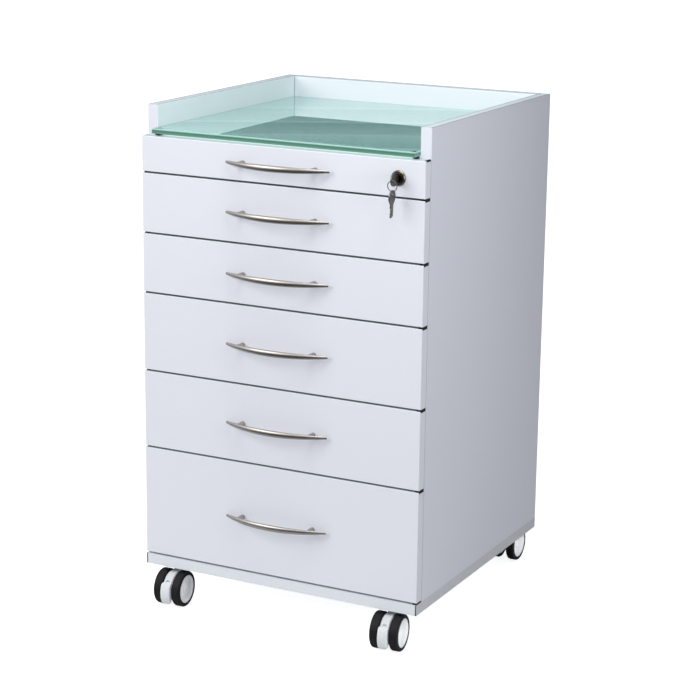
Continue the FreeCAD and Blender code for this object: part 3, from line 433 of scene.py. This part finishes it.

# %% Edge bands and painted shade
STRAIGHT_ON = 0.95
edge_band_and_painted_shade, given, result = start_group(
    "edge_band_and_painted_shade",
    [("Color", COLOUR, GREY), ("Band", COLOUR, GREY), ("Facing", FLOAT, 1.0), ("Across", FLOAT, 0.0),
     ("Middle", FLOAT, 0.0), ("Half", FLOAT, 0.009), ("Line", FLOAT, 0.001), ("Glue", FLOAT, 0.7)],
    [("Color", COLOUR)],
)
tree = edge_band_and_painted_shade
on_edge = number(tree, "GREATER_THAN", given.outputs["Facing"], STRAIGHT_ON)
aside = number(tree, "SUBTRACT", given.outputs["Across"], given.outputs["Middle"])
from_middle = number(tree, "ABSOLUTE", aside)
inner = number(tree, "SUBTRACT", given.outputs["Half"], given.outputs["Line"])
on_line = number(tree, "GREATER_THAN", from_middle, inner)
darker = number(tree, "SUBTRACT", 1.0, number(tree, "MULTIPLY", on_line, given.outputs["Glue"]))
lined = brightened(tree, given.outputs["Band"], darker)
tree.links.new(mixed(tree, on_edge, given.outputs["Color"], lined), result.inputs["Color"])
print("edge_band_and_painted_shade has", len(tree.nodes), "nodes")

# %% Glass cast
glass_cast, given, result = start_group(
    "glass_cast",
    [("Color", COLOUR, GREY), ("Cast", COLOUR, GREY), ("Wide", FLOAT, 0.24), ("Level", FLOAT, 0.8)],
    [("Color", COLOUR)],
)
tree = glass_cast
place = object_place(tree)
inside = number(tree, "LESS_THAN", reach(tree, place, "X"), given.outputs["Wide"])
above = number(tree, "GREATER_THAN", split(tree, place)["Z"], given.outputs["Level"])
both = number(tree, "MULTIPLY", inside, above)
cast = mixed(tree, both, given.outputs["Color"], given.outputs["Cast"])
tree.links.new(cast, result.inputs["Color"])
print("glass_cast has", len(tree.nodes), "nodes")

# %% [markdown]
# ## Finishes
#
# A finish is a Principled shader with the effects wired in. Plain values that are the same all over
# the surface, such as metalness, are set on the shader's own sockets. One helper makes a finish
# from a cloudy colour and either a fine skin, for boards, plastics, rubber and worn metal, or
# brushed lines, for metal that was brushed or rolled.

# %% Helpers for finishes
def place_group(tree, group, **values):
    """A node group placed in a material, with its own values."""
    node = tree.nodes.new("ShaderNodeGroup")
    node.node_tree = group
    for label, given in values.items():
        node.inputs[label].default_value = given
    return node


def finish(name, colour, cloud, metallic=0.0, specular=0.5, skin=None, lines=None, coat=0.0):
    """A finish from a screen colour, its clouds' number per metre and strength, and a surface."""
    material = bpy.data.materials.new(name)
    material.use_nodes = True
    tree = material.node_tree
    shader = tree.nodes["Principled BSDF"]
    size, spread = cloud
    tone = place_group(tree, cloudy_tone, Color=screen_colour(*colour), Size=size, Spread=spread)
    tree.links.new(tone.outputs["Color"], shader.inputs["Base Color"])
    group, values = (fine_skin, skin) if skin else (brushed_lines, lines)
    surface = place_group(tree, group, **values)
    tree.links.new(surface.outputs["Roughness"], shader.inputs["Roughness"])
    tree.links.new(surface.outputs["Normal"], shader.inputs["Normal"])
    shader.inputs["Metallic"].default_value = metallic
    shader.inputs["Specular IOR Level"].default_value = specular
    shader.inputs["Coat Weight"].default_value = coat
    print("finish", name)
    return material


def give(material, *names):
    """Puts one finish on CAD nodes."""
    for name in names:
        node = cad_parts[name]
        node.data.materials.clear()
        node.data.materials.append(material)


DRAWERS = [f"drawer_{count}" for count in range(1, 7)]
CORNERS = ["front_left", "front_right", "rear_left", "rear_right"]

# %% [markdown]
# ## White boards
#
# The carcass and drawer fronts are chipboard faced with white melamine film: cool white, satin,
# and very slightly pebbled where the press plate has left its texture. Their edges carry a
# glued-on band of a slightly different white. A thin dark line of glue shows on each side of the
# band on the top edges of the side and back panels, and at both ends of the base board's front
# edge. On those top edges the band is partly the tape's own tone and partly painted shade, a
# little darker to hold them down under the top lamp. The top edges of the drawer fronts are
# painted grey-green, as painted shade of the glass over the top front and of the gaps between the
# fronts. Where the back panel meets the side panels, a thin dark line is painted shade in the
# inside corner. The top panel under the glass is a brighter white than the other boards, as painted
# light that brightens the glass over it. The drawer boxes inside are a plainer, more matt white.
#
# The glass throws a faint blue-green cast on the inner faces of the gallery that stand over it,
# which is laid on the side panels' colour.

# %% Helpers for boards
GLUE_AND_SHADE_LINE = 0.0014
NO_LINES = 10.0


def white_board(name, colour, gloss=0.3):
    """Board faced with white melamine film."""
    return finish(
        name, colour, cloud=(3.0, 0.012), specular=gloss,
        skin=dict(Grain=1400.0, Height=0.06, Roughness=0.42, Unevenness=0.08),
    )


def add_effect(board, effect):
    """Puts a placed group between a finish's colour and its shader."""
    tree = board.node_tree
    base = tree.nodes["Principled BSDF"].inputs["Base Color"]
    tree.links.new(base.links[0].from_socket, effect.inputs["Color"])
    tree.links.new(effect.outputs["Color"], base)


def add_band_and_painted_shade(board, tone, faces, across, middle=0.0, half=NO_LINES, glue_and_corner_shade=0.0, line=GLUE_AND_SHADE_LINE):
    """Gives the faces that look along one axis their own tone, with a fine dark line at both ends.

    The ends lie half a band's width either side of its middle, measured along the axis across it.
    With NO_LINES as the half width they lie far outside the board.
    """
    tree = board.node_tree
    band = place_group(
        tree, edge_band_and_painted_shade, Band=screen_colour(*tone), Middle=middle, Half=half, Line=line, Glue=glue_and_corner_shade
    )
    tree.links.new(reach(tree, face_normal(tree), faces), band.inputs["Facing"])
    tree.links.new(reach(tree, object_place(tree), across), band.inputs["Across"])
    add_effect(board, band)


# %% Side panels
side_box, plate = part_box("side_panel_right"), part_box("glass_top")
half_side = (side_box[1][0] - side_box[0][0]) / 2
CAST_DEPTH = 0.0005
side_melamine_painted_light_and_shade = white_board("white melamine side with painted light and shade", (229, 231, 240))
# The band on the side panels' top edges is partly the tape's own tone and partly painted shade, darker
# to hold those faces down under the top lamp.
add_band_and_painted_shade(
    side_melamine_painted_light_and_shade, (218, 226, 233), faces="Z", across="X",
    middle=side_box[1][0] - half_side, half=half_side, glue_and_corner_shade=0.75, line=0.002,
)
cast = place_group(
    side_melamine_painted_light_and_shade.node_tree, glass_cast,
    Cast=screen_colour(239, 250, 253), Wide=side_box[0][0] + CAST_DEPTH, Level=plate[1][2],
)
add_effect(side_melamine_painted_light_and_shade, cast)
give(side_melamine_painted_light_and_shade, "side_panel_left", "side_panel_right")
print("the side panels are", round(2 * half_side, 4), "m thick")

# %% Back panel
back_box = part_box("back_panel")
half_back = (back_box[1][1] - back_box[0][1]) / 2
back_melamine_and_painted_shade = white_board("white melamine back with painted shade", (236, 240, 246))
# The band on the back panel's top edge is partly the tape's own tone and partly painted shade, darker
# to hold it down under the top lamp.
add_band_and_painted_shade(
    back_melamine_and_painted_shade, (232, 236, 243), faces="Z", across="Y",
    middle=back_box[1][1] - half_back, half=half_back, glue_and_corner_shade=0.8, line=0.003,
)
# Painted shade: a thin dark line at both ends of the back panel's front face, in the inside corners
# where it meets the side panels.
add_band_and_painted_shade(back_melamine_and_painted_shade, (236, 240, 246), faces="Y", across="X", half=back_box[1][0], glue_and_corner_shade=0.5)
give(back_melamine_and_painted_shade, "back_panel")
print("the back panel is", round(2 * half_back, 4), "m thick")

# %% Base board, top panel, drawer fronts and drawer boxes
base_melamine = white_board("white melamine base", (229, 231, 240))
add_band_and_painted_shade(
    base_melamine, (230, 234, 239), faces="Y", across="X",
    half=side_box[1][0], glue_and_corner_shade=0.9, line=0.0022,
)
add_band_and_painted_shade(base_melamine, (213, 214, 218), faces="X", across="Z")
# Painted light: the top panel under the glass is a brighter white than the other boards, to brighten
# the glass over it.
top_melamine_painted_light = white_board("white melamine top with painted light", (248, 252, 253))
front_melamine_and_painted_shade = white_board("white melamine front with painted shade", (231, 233, 241), gloss=0.45)
# Painted shade: the fronts' top edges are grey-green, for the glass's shade on the top front and the
# shade in the gaps between the fronts.
add_band_and_painted_shade(front_melamine_and_painted_shade, (190, 200, 202), faces="Z", across="X")
box_melamine = finish(
    "plain white board", (226, 226, 226), cloud=(4.0, 0.02), specular=0.3,
    skin=dict(Grain=1100.0, Height=0.1, Roughness=0.55, Unevenness=0.1),
)
give(base_melamine, "base_board")
give(top_melamine_painted_light, "top_panel")
give(front_melamine_and_painted_shade, *[name + "_front" for name in DRAWERS])
give(box_melamine, *[name + "_box" for name in DRAWERS])
print("boards done")

# %% [markdown]
# ## Glass worktop
#
# The worktop is a plate of clear float glass. Seen through its thickness it is nearly clear with a
# green cast. At its ground edge, where light travels the long way through it, it is a bottle green
# that deepens upwards to the foot of the bevel. The bevel is painted pale, as a painted highlight
# where it faces up to the light. The faces and the edge are told apart by which way the surface
# faces. The index is set above the 1.52 of real glass, so that the gallery mirrors plainly in it.

# %% Glass finish
GLASS_INDEX = 1.9
FACE_TINT = (197, 241, 240)
SHADOW_TINT = (240, 249, 246)
EDGE_CLEARNESS = 0.3
EDGE_ROUGHNESS = 0.4
# The last two stops paint the bevel pale, as a painted highlight where it faces up to the light.
EDGE_GREENS_AND_BEVEL_HIGHLIGHT = [
    (0.0, (112, 160, 146)), (0.35, (66, 140, 112)), (0.7, (44, 116, 88)),
    (0.76, (170, 216, 204)), (1.0, (186, 224, 216)),
]
glass = bpy.data.materials.new("float glass")
glass.use_nodes = True
tree = glass.node_tree
shader = tree.nodes["Principled BSDF"]
shader.inputs["IOR"].default_value = GLASS_INDEX
flat = number(tree, "GREATER_THAN", reach(tree, face_normal(tree), "Z"), STRAIGHT_ON)
clearness = number(tree, "MULTIPLY_ADD", flat, 1.0 - EDGE_CLEARNESS, EDGE_CLEARNESS)
tree.links.new(clearness, shader.inputs["Transmission Weight"])
roughness = number(tree, "MULTIPLY_ADD", flat, -EDGE_ROUGHNESS, EDGE_ROUGHNESS)
tree.links.new(roughness, shader.inputs["Roughness"])
level = tree.nodes.new("ShaderNodeMapRange")
tree.links.new(split(tree, object_place(tree))["Z"], level.inputs["Value"])
level.inputs["From Min"].default_value = plate[0][2]
level.inputs["From Max"].default_value = plate[1][2]
depth = tree.nodes.new("ShaderNodeValToRGB")
tree.links.new(level.outputs["Result"], depth.inputs["Fac"])
stops = depth.color_ramp.elements
for height, _ in EDGE_GREENS_AND_BEVEL_HIGHLIGHT[1:-1]:
    stops.new(height)
for stop, (_, tint) in zip(stops, EDGE_GREENS_AND_BEVEL_HIGHLIGHT):
    stop.color = screen_colour(*tint)
tinted = mixed(tree, flat, depth.outputs["Color"], screen_colour(*FACE_TINT))
tree.links.new(tinted, shader.inputs["Base Color"])
clear = tree.nodes.new("ShaderNodeBsdfTransparent")
clear.inputs["Color"].default_value = screen_colour(*SHADOW_TINT)
mix = tree.nodes.new("ShaderNodeMixShader")
tree.links.new(by_ray(tree, "Is Shadow Ray", "Is Diffuse Ray"), mix.inputs[0])
tree.links.new(shader.outputs[0], mix.inputs[1])
tree.links.new(clear.outputs[0], mix.inputs[2])
tree.links.new(mix.outputs[0], tree.nodes["Material Output"].inputs["Surface"])
give(glass, "glass_top")
print("glass edge tints at", [round(stop.position, 2) for stop in stops])

# %% [markdown]
# ## Metals
#
# The handles are brushed nickel: warm grey, with fine lines along the bar. The slides and screws
# are bright zinc-plated steel. The lock is plated in a dark nickel round a plug painted near black,
# as painted shade of the dark keyhole, and the keys are worn to a duller metal.

# %% Metal finishes
nickel = finish(
    "brushed nickel", (166, 161, 157), cloud=(30.0, 0.04), metallic=1.0,
    lines=dict(Stretch=(25, 2600, 2600), Depth=0.12, Roughness=0.34, Unevenness=0.16),
)
zinc = finish(
    "zinc plate", (202, 204, 206), cloud=(24.0, 0.06), metallic=1.0,
    lines=dict(Stretch=(1600, 18, 1600), Depth=0.08, Roughness=0.34, Unevenness=0.2),
)
lock_metal = finish(
    "dark nickel", (118, 112, 99), cloud=(60.0, 0.08), metallic=1.0,
    skin=dict(Grain=2500.0, Height=0.1, Roughness=0.28, Unevenness=0.15),
)
# Painted shade: the plug is near black, for the dark keyhole.
keyhole_shade_plug = finish(
    "near-black plug with painted keyhole shade", (40, 38, 36), cloud=(60.0, 0.08), metallic=1.0,
    skin=dict(Grain=2500.0, Height=0.1, Roughness=0.35, Unevenness=0.15),
)
key_metal = finish(
    "worn key metal", (112, 110, 108), cloud=(120.0, 0.12), metallic=1.0,
    skin=dict(Grain=2200.0, Height=0.25, Roughness=0.38, Unevenness=0.3),
)
give(nickel, *[name + "_handle" for name in DRAWERS])
give(zinc, "slide_cabinet_members", "castor_plates", "castor_screws")
give(zinc, *[name + "_slide_middle" for name in DRAWERS], *[name + "_slide_inner" for name in DRAWERS])
give(lock_metal, "lock_cylinder")
give(keyhole_shade_plug, "lock_plug")
give(key_metal, "lock_key", "key_ring")

# %% [markdown]
# ## Castors
#
# Hood and pedal are light grey moulded nylon, the wheel discs are a cleaner white with a little
# gloss, and the tyres are soft black rubber with a trace of dust in the tread.

# %% Plastic and rubber finishes
hood_plastic = finish(
    "grey moulded nylon", (216, 218, 220), cloud=(40.0, 0.02), specular=0.4,
    skin=dict(Grain=1500.0, Height=0.15, Roughness=0.42, Unevenness=0.1),
)
pedal_plastic = finish(
    "pale moulded nylon", (226, 228, 230), cloud=(40.0, 0.02), specular=0.4,
    skin=dict(Grain=1500.0, Height=0.12, Roughness=0.4, Unevenness=0.1),
)
hub_plastic = finish(
    "white moulded nylon", (253, 253, 254), cloud=(50.0, 0.015), coat=0.8,
    skin=dict(Grain=1500.0, Height=0.08, Roughness=0.35, Unevenness=0.1),
)
rubber = finish(
    "black tyre rubber", (13, 13, 17), cloud=(90.0, 0.25), specular=0.25,
    skin=dict(Grain=1800.0, Height=0.3, Roughness=0.6, Unevenness=0.2),
)
give(hood_plastic, *[f"castor_{corner}_hood" for corner in CORNERS])
give(pedal_plastic, "castor_front_left_brake", "castor_front_right_brake")
give(hub_plastic, *[f"castor_{corner}_hubs" for corner in CORNERS])
give(rubber, *[f"castor_{corner}_tyres" for corner in CORNERS])

# %% [markdown]
# ## Spare key
#
# A second key of the same cut hangs from the ring by the hole in its bow. It swings loosely with
# the ring, so it is drawn here and rides on the ring: the mesh of the key in the lock is copied,
# turned so that the blade hangs down, and brought under the ring.

# %% Hang the spare key
BOW_SETBACK = 0.0083
BOW_LEVEL = 0.7345
LEAN = math.radians(2)
QUARTER_TURN = math.radians(90)
key_box, ring_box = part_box("lock_key"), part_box("key_ring")
bow = (Vector(key_box[0]) + Vector(key_box[1])) / 2
bow.y = key_box[0][1] + BOW_SETBACK
hung = Vector((bow.x, (ring_box[0][1] + ring_box[1][1]) / 2, BOW_LEVEL))
turn = Matrix.Rotation(LEAN, 4, "Y") @ Matrix.Rotation(-QUARTER_TURN, 4, "X")
spare_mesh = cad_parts["lock_key"].data.copy()
spare_mesh.transform(Matrix.Translation(hung) @ turn @ Matrix.Translation(-bow))
spare_mesh.materials.clear()
spare_mesh.materials.append(key_metal)
spare_key = bpy.data.objects.new("spare_key", spare_mesh)
bpy.context.scene.collection.objects.link(spare_key)
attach(spare_key, "ring")
print("the spare key's tip hangs at", round(min(v.co.z for v in spare_mesh.vertices), 4), "m")

# %% [markdown]
# ## Painted gap shade and glass pads
#
# Where two drawer fronts meet, a small block in the black rubber finish sits in each end of the
# gap, on the top corner of the lower front, with a lip that folds down over the front's side edge.
# It is painted shade: from the side it shows as a short black mark at the end of the gap, where
# the gap's shade falls. A thinner one lies on the right top corner of the top drawer's front, and
# one lies on the base board under the lowest front, as painted shade at those gap ends too. Two
# small pads of the same rubber sit under the glass near its front corners.

# %% Helpers for rubber blocks
GAP_SHADE_SKIN = 0.0003
GAP_SHADE_INSET = 0.001


def block(name, low, high, body):
    """A plain rubber block between two corners that rides with a body."""
    spots = list(itertools.product(*zip(low, high)))
    faces = [(0, 1, 3, 2), (4, 6, 7, 5), (0, 4, 5, 1), (2, 3, 7, 6), (0, 2, 6, 4), (1, 5, 7, 3)]
    shape = bpy.data.meshes.new(name)
    shape.from_pydata(spots, [], faces)
    shape.materials.append(rubber)
    piece = bpy.data.objects.new(name, shape)
    bpy.context.scene.collection.objects.link(piece)
    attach(piece, body)


def gap_shade_block(name, lip_name, drawer, side, wide, tall, lip, setback):
    """A black block of painted gap shade on a top corner of a drawer's front, with its lip over the
    side edge.
    """
    low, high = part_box(drawer + "_front")
    edge, outward = (low[0], -1) if side == "left" else (high[0], 1)
    skin = edge + outward * GAP_SHADE_SKIN
    start, back = low[1] + setback, high[1] - GAP_SHADE_INSET
    near, far = sorted((edge - outward * wide, skin))
    block(name, (near, start, high[2]), (far, back, high[2] + tall), drawer)
    near, far = sorted((edge, skin))
    block(lip_name, (near, start, high[2] - lip), (far, back, high[2]), drawer)


# %% Set the blocks of painted gap shade
# Black blocks of painted shade at the ends of the gaps between the drawer fronts.
GAP_SHADE_WIDE, GAP_SHADE_TALL, GAP_SHADE_LIP = 0.007, 0.0024, 0.0022
SETBACKS = {"left": 0.007, "right": 0.001}
TOP_GAP_SHADE_BLOCK = dict(wide=0.003, tall=0.001, lip=0.0016, setback=0.003)
for drawer in DRAWERS[1:]:
    for side, setback in SETBACKS.items():
        names = f"{drawer}_buffer_{side}", f"{drawer}_buffer_lip_{side}"
        gap_shade_block(*names, drawer, side, GAP_SHADE_WIDE, GAP_SHADE_TALL, GAP_SHADE_LIP, setback)
# A thinner block of painted shade at the top drawer's right top corner.
gap_shade_block("top_gap_shade_block", "top_gap_shade_block_lip", "drawer_1", "right", **TOP_GAP_SHADE_BLOCK)
print("gap_shade_blocks on", len(DRAWERS), "fronts")

# %% Set the glass pads and the base board's block of painted gap shade
PAD_WIDE, PAD_TALL, PAD_INSET = 0.008, 0.0034, 0.0005
PAD_SETBACKS = {"left": 0.009, "right": 0.0115}
PAD_DEPTHS = {"left": 0.009, "right": 0.007}
pad_places = {"left": plate[0][0] + PAD_INSET, "right": plate[1][0] - PAD_INSET - PAD_WIDE}
for side, across in pad_places.items():
    start = plate[0][1] + PAD_SETBACKS[side]
    low = across, start, plate[0][2] - PAD_TALL
    high = across + PAD_WIDE, start + PAD_DEPTHS[side], plate[0][2]
    block(f"glass_pad_{side}", low, high, "carcass")
base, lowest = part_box("base_board"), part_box("drawer_6_front")
# A block of painted shade at the right end of the gap over the base board.
low = base[1][0] - GAP_SHADE_WIDE, base[0][1] + GAP_SHADE_INSET, base[1][2]
high = base[1][0] + GAP_SHADE_SKIN, lowest[1][1] - GAP_SHADE_INSET, base[1][2] + GAP_SHADE_TALL
block("base_gap_shade_block_right", low, high, "carcass")
print("the base board's buffer is", round(1000 * (high[1] - low[1]), 1), "mm deep")
